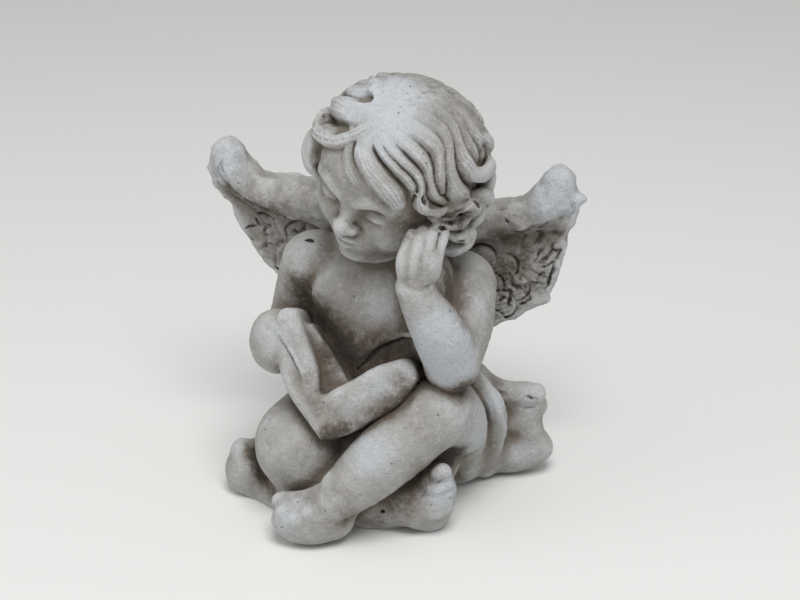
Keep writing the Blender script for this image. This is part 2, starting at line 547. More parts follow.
LEFT_WING = {
    "outline": [
        (16, 146), (49, 153), (62, 157), (69, 160), (79, 173), (87, 180), (94, 175), (95, 167), (100, 163),
        (98, 153), (92, 139), (92, 131), (87, 111), (81, 98), (65, 87), (50, 79), (24, 84),
    ],
    "roll": [
        (86, 171, 9, -1), (81, 160, 11, -2), (70, 152, 10.5, -3), (54, 148, 10, -4),
        (36, 145, 12, -6), (16, 138, 17, -11),
    ],
    "side": 1,
    "bumps": [
        (60, 155, 4), (54, 155, 3.5), (97, 162, 3.4), (99.5, 162.5, 2.4), (91, 148, 4), (87.5, 134, 4),
        (79, 100, 4),
    ],
    "feather_tilt": 25,
    "feather_from": (45, 122),
    "feathers": lambda x, z: z < 128 and x < 68,
    "hatch": (78, 122, 12, 18, 42, 0.9),
    "grooves": [
        [(64, 145), (69, 143), (74, 145), (79, 148)],
        [(72, 135), (78, 138), (85, 141), (92, 144)],
    ],
    "strokes": [
        [(64, 145), (67, 142), (71, 138)], [(77, 143), (81, 146), (85, 152)],
        [(74, 135), (78, 138), (81, 143)], [(79, 123), (84, 130), (90, 135)],
        [(77, 126), (79, 132), (81, 136)], [(83, 128), (86, 136)], [(81, 121), (88, 128), (92, 134)],
        [(62, 115), (62, 112), (62, 108)], [(62, 108), (66, 107), (70, 106)],
        [(71, 107), (73, 111), (74, 113)], [(66, 112), (70, 114)], [(72, 107), (72, 98)],
        [(67, 97), (71, 100)],
        [(60, 94), (63, 106)], [(53, 112), (60, 115)], [(53, 103), (60, 105)], [(55, 97), (59, 103)],
        [(86, 125), (85, 115), (82, 107)], [(59, 151), (61, 150)],
    ],
    "scratches": [
        [(57, 119), (63, 117), (69, 120)], [(95, 166), (97, 158), (95, 149)], [(86, 140), (92, 143)],
        [(73, 119), (79, 115)], [(76, 112), (80, 117)], [(75, 104), (79, 108)], [(54, 157), (60, 157)],
    ],
}


# Width, depth and dirt of each kind of carved line on a wing
WING_LINES = {"grooves": (2.2, 1.9, 0.4), "strokes": (0.9, 1.2, 0.8), "scratches": (0.8, 0.8, 0.45)}


def scales(x, z, shape):
    """How far the feathers stand out over a wing's front, and how much dirt they hold. Each is a U with its
    round end outwards: it rises to the rim, has barbs along it, and lies over the next one out, with a furrow
    round its rim. The rows are a step apart, and every second one is set off by half a feather. Two sines of
    the row and the place in it shift and scale each feather a little."""
    relief = np.zeros(np.broadcast(x, z).shape, np.float32)
    ink = relief.copy()
    size = SCALE["radius"]
    tilt = math.radians(shape["feather_tilt"])
    side = shape["side"]
    along = np.array((side * math.cos(tilt), math.sin(tilt)))
    across = np.array((-along[1], along[0]))
    origin = np.array(shape["feather_from"], float)
    for row in range(4, -2, -1):
        for place in range(-5, 6):
            aside = (place + 0.5 * (row % 2)) * 2 * size * 0.92
            centre = origin + along * row * SCALE["step"] + across * aside
            if outline_gap(shape["outline"], *centre) > -1 or not shape["feathers"](*centre):
                continue
            wobble = math.sin(12.9 * row + 7.7 * place)
            centre = centre + 1.2 * np.array((wobble, math.cos(5.1 * row + 9.3 * place)))
            radius = size * (1 + 0.08 * wobble)
            p = (x - centre[0]) * along[0] + (z - centre[1]) * along[1]
            q = (x - centre[0]) * across[0] + (z - centre[1]) * across[1]
            rim = radius - np.hypot(np.maximum(p, 0), q)
            inside = (rim > 0) & (p > -1.6 * size)
            phase = math.pi * (q + 0.8 * wobble + 0.04 * p * p / size) / SCALE["barb"]
            barb = (1 - np.abs(np.sin(phase))) ** 2
            height = 0.3 + 0.9 * eased(-1.2, 1, p / radius) - 0.8 * np.maximum(1 - rim / 1.6, 0) ** 2
            height = height - 0.8 * barb * eased(1.0, 2.0, rim)
            relief = np.where(inside, height, relief)
            turn = np.arctan2(q, p + 2)
            line = np.maximum(1 - np.abs(rim + 0.4) / 1.3, 0) * (p > -0.3 * size)
            line = line * (0.6 + 0.4 * np.sin(2.3 * turn + 5 * wobble))
            relief = relief - 1.9 * line
            ink = np.maximum(np.where(inside, 0.45 * barb * eased(1.0, 2.0, rim), ink), line**1.5)
    return relief, ink


def hatch(body, shape, start):
    """Short strokes between the feathers, along them and a little askew."""
    middle_x, middle_z, wide, tall, number, depth = shape["hatch"]
    random = np.random.default_rng(7)
    for _ in range(number):
        a, b = middle_x + wide * random.uniform(-1, 1), middle_z + tall * random.uniform(-1, 1)
        angle = math.radians(shape["feather_tilt"] + random.normal(15, 16))
        length = random.uniform(3, 8)
        step = np.array((shape["side"] * math.cos(angle), math.sin(angle))) * length / 2
        bow = random.uniform(-0.8, 0.8)
        line = [(a - step[0], b - step[1]), (a + bow, b - bow), (a + step[0], b + step[1])]
        if max(outline_gap(shape["outline"], *end) for end in line) < -0.5:
            deep = depth * random.uniform(0.5, 1)
            body.furrow([(x, start, z) for x, z in line], 0.8, deep, 0.4, random.uniform(0.1, 0.5))


def quills(body, shape, start):
    """Furrows on a wing's back, from near its root towards the middle of each side of its outline."""
    corners = np.array(shape["outline"], float)
    root = np.array((shape["side"] * 20, 128))
    for a, b in zip(corners[4:-2], corners[5:-1]):
        reach = (a + b) / 2 - root
        line = [root + share * reach + (0, 3 * share * (1 - share) * 4) for share in (0.4, 0.65, 0.93)]
        body.furrow([(x, start, z) for x, z in line], 2.0, 1.3, 0.4, 0.15)


def wing(shape):
    """A plate with its outline, scale feathers on its front, the rolled edge, and the lines carved in it,
    which start outside the plate and settle onto it."""
    body = Clay()
    plane, half = WING["plane"], WING["thickness"] / 2
    front, back = plane - half - 5, plane + half + 5
    corners = np.array(shape["outline"], float)
    margin = 12
    low = (corners[:, 0].min() - margin, plane - 20, corners[:, 1].min() - margin)
    high = (corners[:, 0].max() + margin, plane + 20, corners[:, 1].max() + margin)
    where, (x, y, z) = window(low, high)
    flat = outline_gap(corners, x, z)
    body.add(where, slab(flat, y - plane, half, 3), 0.5)
    facing = 1 - eased(-2, 2, y - plane)
    fade = eased(-0.5, 3, -flat)
    relief, ink = scales(x, z, shape)
    body.d[where] -= relief * facing * fade
    INK[where] = np.maximum(INK[where], ink * facing * fade)
    body.limb([(x, plane + behind, z, r) for x, z, r, behind in shape["roll"]])
    body.d[where] += sum(height * cloudy(cell, seed)[where] for height, cell, seed in UNEVEN_WING)
    for group, (width, depth, ink) in WING_LINES.items():
        for points in shape[group]:
            body.furrow([(x, front, z) for x, z in points], width, depth, 0.5, ink)
    hatch(body, shape, front)
    quills(body, shape, back)
    for x, z, radius in shape["bumps"]:
        body.mass((x, plane - 1, z), (radius * 1.4, radius, radius), blend=2)
    return body


HEAD_AXES = turned(HEAD["bow"], HEAD["roll"], HEAD["turn"])


def head_place(x, y, z):
    """A place on the head from its centre: to its own left, backwards and up."""
    return HEAD_AXES @ np.array((x, y, z), float) + HEAD["centre"]


def on_head(left, up, reach):
    """A place on the head from degrees to its own left of the face, degrees up, and a share of the skull."""
    a, b = math.radians(left), math.radians(up)
    w, d, h = np.array(HEAD["skull"]) * reach
    return head_place(math.cos(b) * math.sin(a) * w, -math.cos(b) * math.cos(a) * d, math.sin(b) * h)


def head():
    """A generic calm child's face with lowered lids, on the usual proportions of an infant's head."""
    body = Clay()

    def lump(x, y, z, radii, blend, hollow=False):
        body.mass(head_place(x, y, z), radii, HEAD_AXES, blend, hollow)

    def roll(points, blend):
        body.limb([(*head_place(x, y, z), r) for x, y, z, r in points], blend, 5)

    body.mass(HEAD["centre"], HEAD["skull"], HEAD_AXES, 6)
    lump(0, -13, -25, (27, 26, 21), 8)
    lump(0, -26, 12, (26, 18, 20), 10)
    for side in (-1, 1):
        lump(side * 15, -27, -17, (13.5, 12.5, 13), 6)
        lump(side * 15, -43.5, -3.5, (9, 5, 6.5), 5, True)
        lump(side * 14.5, -34.5, -5, (8, 6.6, 6.4), 1.6)
        roll([(side * 6, -42.6, 3.5, 2), (side * 14, -41.8, 6.8, 2.4), (side * 23, -36.5, 4.8, 1.6)], 6)
        lump(side * 40, 2, -4, (3.5, 7, 10), 3)
        lump(side * 43, 0, -3, (2, 3.5, 5.5), 2, True)
    lump(0, -34, -27, (12, 9.5, 9), 6)
    lump(0, -34, -38, (8.5, 7.5, 6), 6)
    lump(0, -20, -41, (18, 15, 8), 6)
    roll([(0, -40, 2, 3.4), (0, -42.5, -6, 3), (0, -46.5, -12.5, 3.6)], 5)
    lump(0, -47.6, -14.5, (4.7, 4.6, 4.2), 3)
    for side in (-1, 1):
        lump(side * 4.8, -44, -16, (3, 3.8, 3), 2)
        lump(side * 2.5, -46.5, -18.8, (1.3, 1.8, 1.2), 1, True)
        roll([(0, -44.6, -23.4, 1.7), (side * 4, -44.2, -23.2, 1.9), (side * 8.6, -40.6, -25.2, 0.9)], 2)
    roll([(-7, -41, -27.3, 1), (0, -43.6, -28, 2.6), (7, -41, -27.3, 1)], 2)

    def line(points, width, depth, side=1):
        body.furrow([head_place(side * x, y, z) for x, y, z in points], width, 0.6 * depth)

    line([(-9, -41, -25.6), (-4, -44, -25.4), (0, -45, -25.9), (4, -44, -25.4), (9, -41, -25.6)], 1.4, 1.5)
    line([(0, -45, -20), (0, -44.6, -23)], 1.8, 0.7)
    for side in (-1, 1):
        line([(7.4, -39, -6), (11, -41, -8), (16, -40.6, -8.6), (22, -36.5, -6)], 1.3, 1.4, side)
        line([(7.6, -39, -3), (12, -41, 0), (17, -40, 0.4), (22.5, -36, -2.6)], 1.5, 1.1, side)
    return body


def hair_shell():
    """How far the hair reaches out from the head's centre in every direction, as a share of the skull, and
    how far each direction lies from the middle of its lock, in millimetres. Every direction belongs to the
    lock for which e, the gap over the half width, is least. The height of the lock over its base is
    (top - base) (1 - e^2)^0.65, less furrows for its strands, and less a crease where the least e and the
    next are the same. Near the parting and the crown the relief is calmed towards one even height."""
    groove, even = 0.9, 1.108
    lefts, ups = np.meshgrid(
        np.linspace(-180, 180, 360 * MAP_PER_DEGREE + 1),
        np.linspace(-90, 90, 180 * MAP_PER_DEGREE + 1),
        indexing="ij",
    )
    a, b = np.radians(lefts), np.radians(ups)
    place = np.stack((np.cos(b) * np.sin(a), -np.cos(b) * np.cos(a), np.sin(b)), -1).astype(np.float32)
    mean = HEAD["mean"]
    outside_face = np.hypot(lefts / 70, (ups + 12) / 58)
    foot = 0.95 + 0.1 * eased(0.94, 1.08, outside_face) * eased(-44, -30, ups)
    parting = np.array((-0.03, -0.34, 0.94), np.float32)
    foot = foot + 0.07 * eased(0.72, 0.94, place @ parting)
    top, comb, furrow, rise = [np.zeros(foot.shape, np.float32) for _ in range(4)]
    nearest, next_nearest = [np.full(foot.shape, 9, np.float32) for _ in range(2)]

    def lock(ways, half, strands=2, ends=(0.5, 0.5), lean=0.0, full=0.4, most=1.0):
        """Ways are degrees to the head's own left, degrees up and a share of the skull. Lean raises one side.
        Full is the share of its length at which the lock stands out most, and most is how much it does."""
        last = len(ways) - 1
        rows = []
        for i, (left, up, reach) in enumerate(ways):
            a, b = math.radians(left), math.radians(up)
            way = (math.cos(b) * math.sin(a), -math.cos(b) * math.cos(a), math.sin(b))
            rows.append((*way, reach, half * tapered(ends, i, last)))
        line = smooth(rows).astype(np.float32)
        line[:, :3] /= np.linalg.norm(line[:, :3], axis=1)[:, None]
        middle = line[:, :3].mean(0)
        far = np.linalg.norm(line[:, :3] - middle, axis=1).max() + 2 * half / mean
        near = ((place - middle) ** 2).sum(-1) < far * far
        u = place[near]
        least = np.full(len(u), 9, np.float32)
        index = np.zeros(len(u), int)
        share = np.zeros(len(u), np.float32)
        for i, (start, end) in enumerate(zip(line[:-1, :3], line[1:, :3])):
            step = end - start
            t = np.clip((u - start) @ step / (step @ step), 0, 1)
            gap = ((u - start - t[:, None] * step) ** 2).sum(1)
            nearer = gap < least
            least[nearer], index[nearer], share[nearer] = gap[nearer], i, t[nearer]
        here = line[index] * (1 - share[:, None]) + line[index + 1] * share[:, None]
        side = np.cross(here[:, :3], line[index + 1, :3] - line[index, :3])
        gap = np.sqrt(least) * mean
        s = gap * np.sign(((u - here[:, :3]) * side).sum(1))
        width = here[:, 4]
        e = gap / width
        along = (index + share) / (len(line) - 1)
        across = s / width + 0.12 * np.sin(9 * along + 40 * half)
        carved = (1 - np.abs(np.sin(math.pi * strands * (across + 1) / 2))) ** 1.3 * eased(0, 0.2, along)
        carved = carved * groove * (0.75 + 0.25 * np.sin(5 * across + 30 * half)) * eased(1.0, 0.7, e)
        mine = most * eased(0, full, along)
        own = here[:, 3] + (0.5 * width + lean * s) / mean
        first = e < nearest[near]
        next_nearest[near] = np.where(first, nearest[near], np.minimum(next_nearest[near], e))
        for values, new in ((nearest, e), (top, own), (comb, s), (furrow, carved), (rise, mine)):
            values[near] = np.where(first, new, values[near])

    # back and nape
    for i in range(9):
        left = 128 + 19 * i
        bend = 11 if i % 2 else -11
        lock([(left - 8, 62, 1.07), (left, 50, 1.1), (left + bend, 36, 1.12), (left, 20, 1.13),
              (left - bend, 4, 1.12), (left, -8, 1.08)], 8.5, 4, lean=0.12, full=0.6)
        lock([(left + 9, 28, 1.08), (left + 9 - bend, 12, 1.12), (left + 9, -4, 1.13),
              (left + 9 + bend, -20, 1.12), (left + 9, -36, 1.06)], 8, 4, lean=-0.12, full=0.5)
    # crown
    lock([(-6, 70, 1.05), (20, 82, 1.09), (150, 84, 1.1), (176, 70, 1.1), (180, 54, 1.09)], 10, 4, most=0.2)
    lock([(-14, 71, 1.03), (-90, 84, 1.06), (-150, 76, 1.08), (-160, 60, 1.08), (-156, 48, 1.08)],
         10, 4, most=0.25)
    lock([(-20, 71, 1.02), (-62, 76, 1.04), (-104, 72, 1.07), (-128, 60, 1.08), (-138, 46, 1.08)],
         9, 3, most=0.4)
    # right side of the head
    lock([(-16, 71, 1.05), (-47, 71, 1.09), (-82, 66, 1.12), (-101, 53, 1.12), (-112, 38, 1.11)],
         8.5, 3, lean=-0.1)
    lock([(-13, 68, 1.05), (-35, 60, 1.1), (-55, 50, 1.13), (-73, 38, 1.13), (-82, 27, 1.1), (-80, 16, 1.07)],
         8, 3, lean=0.15)
    lock([(-12, 52, 1.04), (-24, 41, 1.08), (-40, 30, 1.1), (-58, 20, 1.11), (-72, 8, 1.08)], 6, 2)
    lock([(-96, 30, 1.1), (-92, 16, 1.13), (-84, 4, 1.12), (-86, -10, 1.08)], 7, 3)
    lock([(-110, 26, 1.1), (-108, 10, 1.13), (-100, -6, 1.12), (-102, -20, 1.07)], 7, 3)
    # fringe
    lock([(-8, 66, 1.07), (-12, 55, 1.1), (-13, 45, 1.11), (-10, 35, 1.1), (-3, 27, 1.08), (5, 21, 1.06),
          (11, 14, 1.01)], 4.6, 2)
    lock([(-6, 66, 1.07), (-4, 52, 1.12), (1, 42, 1.13), (11, 35, 1.14), (23, 27, 1.14), (32, 20, 1.13),
          (37, 13, 1.1)], 7.4, 4, (0.5, 0.8), 0.12)
    lock([(-3, 67, 1.07), (5, 57, 1.11), (17, 47, 1.12), (31, 39, 1.13), (42, 31, 1.12), (48, 24, 1.1),
          (47, 16, 1.05)], 4.6, 2)
    lock([(1, 67, 1.07), (12, 57, 1.11), (26, 48, 1.12), (39, 40, 1.13), (49, 33, 1.12), (53, 25, 1.13),
          (53, 17, 1.13), (57, 9, 1.15), (66, 5, 1.15)], 5.4, 2, lean=-0.1)
    lock([(6, 68, 1.07), (24, 60, 1.1), (42, 51, 1.11), (52, 43, 1.12), (58, 35, 1.11), (59, 26, 1.11),
          (62, 17, 1.1), (69, 9, 1.1)], 6.4, 3, lean=0.12)
    lock([(8, 72, 1.06), (34, 67, 1.09), (54, 60, 1.11), (66, 52, 1.12), (71, 44, 1.12), (69, 36, 1.12),
          (67, 27, 1.12), (68, 18, 1.1)], 7.2, 4, (0.6, 0.6), 0.15, full=0.55)
    lock([(22, 78, 1.05), (66, 72, 1.07), (82, 62, 1.08), (86, 52, 1.1), (83, 43, 1.11), (77, 35, 1.12),
          (75, 26, 1.12), (79, 15, 1.12), (87, 7, 1.11)], 7, 4, (0.6, 0.7), -0.1, full=0.55)
    lock([(40, 84, 1.04), (98, 75, 1.04), (105, 63, 1.05), (101, 53, 1.08), (94, 44, 1.11), (90, 34, 1.13),
          (92, 24, 1.14), (96, 16, 1.12)], 7, 4, (0.6, 0.7), 0.12, full=0.55)
    lock([(151, 81, 1.04), (133, 68, 1.03), (124, 55, 1.04), (114, 47, 1.06), (106, 38, 1.08),
          (105, 28, 1.08), (107, 18, 1.06)], 7, 3, lean=-0.1, full=0.8)
    lock([(170, 72, 1.04), (150, 58, 1.04), (138, 46, 1.05), (128, 35, 1.06), (122, 24, 1.06),
          (118, 12, 1.06)], 7.5, 3, lean=0.1, full=0.8)
    low = np.minimum(foot, top - 0.03)
    inner = eased(1.3, 1.0, nearest) * (foot > 1)
    base = low + (top - 0.02 - low) * (1 - rise) * inner
    high = base + (top - base) * np.maximum(1 - nearest**2, 0) ** 0.65
    furrow = np.where(nearest < 1, furrow, 0.8 * (foot > 1) * (1 - np.abs(np.sin(math.pi * comb / 2.7))) ** 2)
    crease = (1 - eased(0, 0.6, next_nearest - nearest)) ** 1.3 * (nearest < 1.2) * (0.12 + 0.88 * rise)
    crown = np.array((0.12, 0.3, 0.94), np.float32)
    calm = np.minimum(eased(0.97, 0.84, place @ parting), eased(0.97, 0.5, place @ crown))
    high = even + (high - even) * (0.2 + 0.8 * calm)
    high = high - (furrow * (0.4 + 0.6 * rise) + 2.2 * crease) * (0.15 + 0.85 * calm) / mean
    for axis in (0, 1):
        high = 0.5 * high + 0.25 * (np.roll(high, 1, axis) + np.roll(high, -1, axis))
    return high, comb


HAIR_REACH, HAIR_COMB = hair_shell()


def by_direction(values, left, up):
    """A value of the map at any directions, blended from the four entries around each."""
    i = np.clip((left + 180) * MAP_PER_DEGREE, 0, 360 * MAP_PER_DEGREE - 0.001)
    j = np.clip((up + 90) * MAP_PER_DEGREE, 0, 180 * MAP_PER_DEGREE - 0.001)
    a, b = i.astype(int), j.astype(int)
    s, t = i - a, j - b
    low = values[a, b] * (1 - t) + values[a, b + 1] * t
    return low * (1 - s) + (values[a + 1, b] * (1 - t) + values[a + 1, b + 1] * t) * s


def on_skull(x, y, z):
    """Places as degrees to the head's own left, degrees up, and a share of the skull."""
    q = [x - HEAD["centre"][0], y - HEAD["centre"][1], z - HEAD["centre"][2]]
    p = [sum(HEAD_AXES[j, i] * q[j] for j in range(3)) / HEAD["skull"][i] for i in range(3)]
    share = np.sqrt(p[0] ** 2 + p[1] ** 2 + p[2] ** 2) + 1e-6
    return np.degrees(np.arctan2(p[0], -p[1])), np.degrees(np.arcsin(np.clip(p[2] / share, -1, 1))), share


def hair():
    """The shell of locks, with the curls that stand off it and the hollows inside them. The shell's distance
    is the gap along the ray from the head's centre, less a quarter, because the sides of the locks are
    steep."""
    body = Clay()
    centre = np.array(HEAD["centre"], float)
    where, (x, y, z) = window(centre - 60, centre + 60)
    left, up, share = on_skull(x, y, z)
    body.d[where] = (share - by_direction(HAIR_REACH, left, up)) * HEAD["mean"] * 0.75

    def away(places):
        out = places - centre
        return out / np.linalg.norm(out, axis=1)[:, None]

    def curl(ways, width, strands=3):
        """Ways are degrees to the head's own left, degrees up and a share of the skull."""
        last = len(ways) - 1
        widths = [width * tapered((0.5, 0.5), i, last) for i in range(len(ways))]
        body.band([(*on_head(*way), wide) for way, wide in zip(ways, widths)], away, strands)

    # in front of the right ear
    curl([(-4, 65, 1.05), (-9, 53, 1.1), (-16, 44, 1.12), (-25, 36, 1.13), (-38, 29, 1.14), (-54, 22, 1.15),
          (-66, 18, 1.17), (-72, 23, 1.17), (-68, 30, 1.13)], 4)
    curl([(-48, 26, 1.05), (-60, 18, 1.14), (-61, 10, 1.2), (-56, 3, 1.2), (-50, -3, 1.14), (-44, -9, 1.04)],
         3.6)
    # masses over both ears, under the curls
    body.mass(on_head(-60, 4, 1.04), (8, 10, 13), HEAD_AXES, 2)
    body.mass(on_head(80, 2, 1.0), (6, 9, 9), HEAD_AXES, 2)
    # over the left ear and the hand
    curl([(93, 39, 1.08), (91, 29, 1.12), (95, 19, 1.15), (105, 12, 1.18), (118, 8, 1.18), (128, 8, 1.13)],
         4.4, 0)
    curl([(124, 4, 1.12), (121, -2, 1.18), (114, -9, 1.17), (104, -10, 1.13), (92, -4, 1.13), (84, 0, 1.1)],
         4.6, 0)
    curl([(97, 0, 1.08), (106, -6, 1.16), (112, -12, 1.25), (108, -17, 1.28)], 4.4, 0)
    curl([(83, -2, 1.1), (94, -8, 1.15), (104, -14, 1.21), (103, -21, 1.26), (97, -25, 1.24)], 4, 0)
    curl([(59, 2, 1.08), (72, -8, 1.12), (86, -14, 1.15), (100, -18, 1.18)], 3.6, 0)
    curl([(69, -11, 1.08), (84, -20, 1.13), (95, -24, 1.2)], 3.6, 0)
    curl([(74, -18, 1.1), (86, -25, 1.22), (94, -27, 1.3), (92, -31, 1.36), (85, -36, 1.33), (79, -38, 1.27)],
         4.8, 0)
    # hollows inside the curls
    for left, up, lift, radii in (
        (-35, 41, 1.12, (6, 4, 4)),
        (-61, 60, 1.12, (8, 4, 3.2)),
        (-47, 11, 1.12, (3, 4, 6)),
        (60, 11, 1.16, (2, 3, 4)),
    ):
        body.mass(on_head(left, up, lift), radii, HEAD_AXES, 2, True)
    return body


def blurred(values, radius):
    """Box blurs along each axis, twice over, which comes near to a bell curve."""
    reach = max(1, int(round(radius / GRAIN)))
    for _ in range(2):
        for axis in range(3):
            pad = [(reach + 1, reach) if i == axis else (0, 0) for i in range(3)]
            total = np.cumsum(np.pad(values, pad, mode="edge"), axis=axis, dtype=np.float32)
            ahead = np.take(total, range(2 * reach + 1, total.shape[axis]), axis)
            behind = np.take(total, range(0, total.shape[axis] - 2 * reach - 1), axis)
            values = (ahead - behind) / (2 * reach + 1)
    return values


def skin(d):
    """Surface nets: a point in each cell that the zero level crosses, at the mean of its crossed edges, and
    two triangles round each crossed grid edge, split along the shorter diagonal."""
    inside = d < 0
    low, high = slice(None, -1), slice(1, None)
    full = sum(inside[c].astype(np.uint8) for c in
               [tuple(high if b else low for b in corner) for corner in np.ndindex(2, 2, 2)])
    crossed = (full > 0) & (full < 8)
    number = np.full(crossed.shape, -1, np.int32)
    cells = np.argwhere(crossed)
    number[crossed] = np.arange(len(cells))
    total = np.zeros((len(cells), 3), np.float32)
    hits = np.zeros(len(cells), np.float32)
    for axis in range(3):
        step = np.eye(3, dtype=int)[axis]
        for corner in np.ndindex(2, 2, 2):
            if corner[axis]:
                continue
            start = cells + corner
            a = d[tuple(start.T)]
            b = d[tuple((start + step).T)]
            hit = (a < 0) != (b < 0)
            t = np.where(hit, a / np.where(hit, a - b, 1), 0)
            total += np.where(hit[:, None], np.array(corner) + t[:, None] * step, 0)
            hits += hit
    points = LOW + GRAIN * (cells + total / hits[:, None])
    quads = []
    for axis in range(3):
        u, v = (axis + 1) % 3, (axis + 2) % 3
        start = [slice(1, -1)] * 3
        start[axis] = slice(None, -1)
        end = [slice(1, -1)] * 3
        end[axis] = slice(1, None)
        a, b = inside[tuple(start)], inside[tuple(end)]
        edges = np.argwhere(a != b)
        outward = a[tuple(edges.T)]
        edges[:, u] += 1
        edges[:, v] += 1
        ring = []
        for du, dv in ((-1, -1), (0, -1), (0, 0), (-1, 0)):
            cell = edges.copy()
            cell[:, u] += du
            cell[:, v] += dv
            ring.append(number[tuple(cell.T)])
        ring = np.stack(ring, 1)
        quads.append(np.where(outward[:, None], ring, ring[:, ::-1]))
    quads = np.vstack(quads)
    first = np.linalg.norm(points[quads[:, 0]] - points[quads[:, 2]], axis=1)
    second = np.linalg.norm(points[quads[:, 1]] - points[quads[:, 3]], axis=1)
    quads = np.where((first <= second)[:, None], quads, np.roll(quads, -1, 1))
    return points, np.vstack((quads[:, [0, 1, 2]], quads[:, [0, 2, 3]]))


def mesh_of(name, points, triangles):
    """A mesh from arrays of points and of the three corners of each triangle."""
    mesh = bpy.data.meshes.new(name)
    mesh.vertices.add(len(points))
    mesh.vertices.foreach_set("co", np.asarray(points, np.float32).ravel())
    mesh.loops.add(3 * len(triangles))
    mesh.loops.foreach_set("vertex_index", np.asarray(triangles, np.int32).ravel())
    mesh.polygons.add(len(triangles))
    mesh.polygons.foreach_set("loop_start", np.arange(0, 3 * len(triangles), 3, dtype=np.int32))
    mesh.update(calc_edges=True)
    return mesh


def arrays_of(mesh):
    """The points of a mesh of triangles, and the three corners of each triangle."""
    points = np.zeros(3 * len(mesh.vertices), np.float32)
    mesh.vertices.foreach_get("co", points)
    corners = np.zeros(len(mesh.loops), np.int32)
    mesh.loops.foreach_get("vertex_index", corners)
    return points.reshape(-1, 3), corners.reshape(-1, 3)


def largest_shell(points, triangles):
    """Only the triangles of the largest connected shell: every point takes the least number around it, over
    and over, until nothing changes."""
    label = np.arange(len(points))
    pairs = np.vstack((triangles[:, :2], triangles[:, 1:], triangles[:, ::2]))
    while True:
        before = label.copy()
        least = np.minimum(label[pairs[:, 0]], label[pairs[:, 1]])
        np.minimum.at(label, pairs[:, 0], least)
        np.minimum.at(label, pairs[:, 1], least)
        label = label[label]
        if (label == before).all():
            break
    largest = np.bincount(label).argmax()
    kept = triangles[label[triangles[:, 0]] == largest]
    used, place = np.unique(kept, return_inverse=True)
    return points[used], place.reshape(-1, 3)


def fewer(points, triangles, most):
    """The same surface in fewer triangles, where it is flattest."""
    thing = bpy.data.objects.new("fewer", mesh_of("fewer", points, triangles))
    bpy.context.scene.collection.objects.link(thing)
    modifier = thing.modifiers.new("fewer", "DECIMATE")
    modifier.ratio = min(1, most / len(triangles))
    seen = thing.evaluated_get(bpy.context.evaluated_depsgraph_get())
    made = bpy.data.meshes.new_from_object(seen)
    result = arrays_of(made)
    bpy.data.objects.remove(thing)
    bpy.data.meshes.remove(made)
    return result


def keep(mesh, name, values):
    """Puts one number for each point into the mesh, for the material to read."""
    mesh.attributes.new(name, "FLOAT", "POINT").data.foreach_set("value", values.astype(np.float32))


def statue():
    """The whole casting as one mesh, with attributes for the material. Crease, hollow and shelter are 2 s - 1
    for a share s of stone around a point, from near to far. Earth and bleached are sums of bell curves round
    their places. Ink is the dirt in the carved lines. Comb is how far a point lies from the middle of its
    lock, and combed is how much its strands show."""
    whole = trunk()
    whole.take(right_arm(), 4)
    whole.take(wing(RIGHT_WING), 3)
    whole.take(wing(LEFT_WING), 3)
    whole.take(drapery(), 3)
    whole.take(legs(), 8)
    whole.take(left_arm(), 2)
    whole.take(book(), 1)
    top = head()
    top.take(hair(), 1.5)
    whole.take(top, 1.5)
    for points, width, depth, ink in CARVED:
        whole.furrow(points, width, depth, ink=ink)
    d = whole.d
    d += sum(height * cloudy(cell, seed) for height, cell, seed in UNEVEN)
    # flat underneath, at the height 0
    height = window(LOW, HIGH)[1][2]
    np.maximum(d, -height, out=d)
    stone = np.clip(0.5 - d / GRAIN, 0, 1)
    points, triangles = fewer(*largest_shell(*skin(d)), MOST_TRIANGLES)
    mesh = mesh_of("putto", points / 1000, triangles)
    keep(mesh, "ink", sample(INK, points))
    for name, radius in (("crease", 1.2), ("hollow", 4.0), ("shelter", 12.0)):
        keep(mesh, name, sample(blurred(stone, radius), points) * 2 - 1)
    for name, patches in (("earth", EARTH), ("bleached", BLEACHED)):
        strengths = []
        for *place, spread, strength in patches:
            strengths.append(strength * np.exp(-((points - place) ** 2).sum(1) / (2 * spread**2)))
        keep(mesh, name, sum(strengths))
    left, up, share = on_skull(*points.T)
    gap = np.abs(share - by_direction(HAIR_REACH, left, up))
    near_locks = 0.25 + 0.75 * eased(14, 45, np.linalg.norm(points - on_head(-5, 70, 1.1), axis=1))
    keep(mesh, "comb", by_direction(HAIR_COMB, left, up))
    keep(mesh, "combed", eased(0.045, 0.02, gap) * near_locks)
    mesh.polygons.foreach_set("use_smooth", np.ones(len(triangles), bool))
    thing = bpy.data.objects.new("putto", mesh)
    bpy.context.scene.collection.objects.link(thing)
    return thing


def linear(code):
    """An sRGB hex colour as the linear colour that shaders use."""
    parts = [int(code[i:i + 2], 16) / 255 for i in (1, 3, 5)]
    return tuple(c / 12.92 if c <= 0.04045 else ((c + 0.055) / 1.055) ** 2.4 for c in parts) + (1,)


def node(tree, kind, settings=(), links=()):
    """One node with its settings, and links from (node, socket) to its own inputs."""
    made = tree.nodes.new(kind)
    for key, value in dict(settings).items():
        if isinstance(key, int) or key in made.inputs.keys():
            made.inputs[key].default_value = value
        else:
            setattr(made, key, value)
    for key, (source, socket) in dict(links).items():
        tree.links.new(source.outputs[socket], made.inputs[key])
    return made


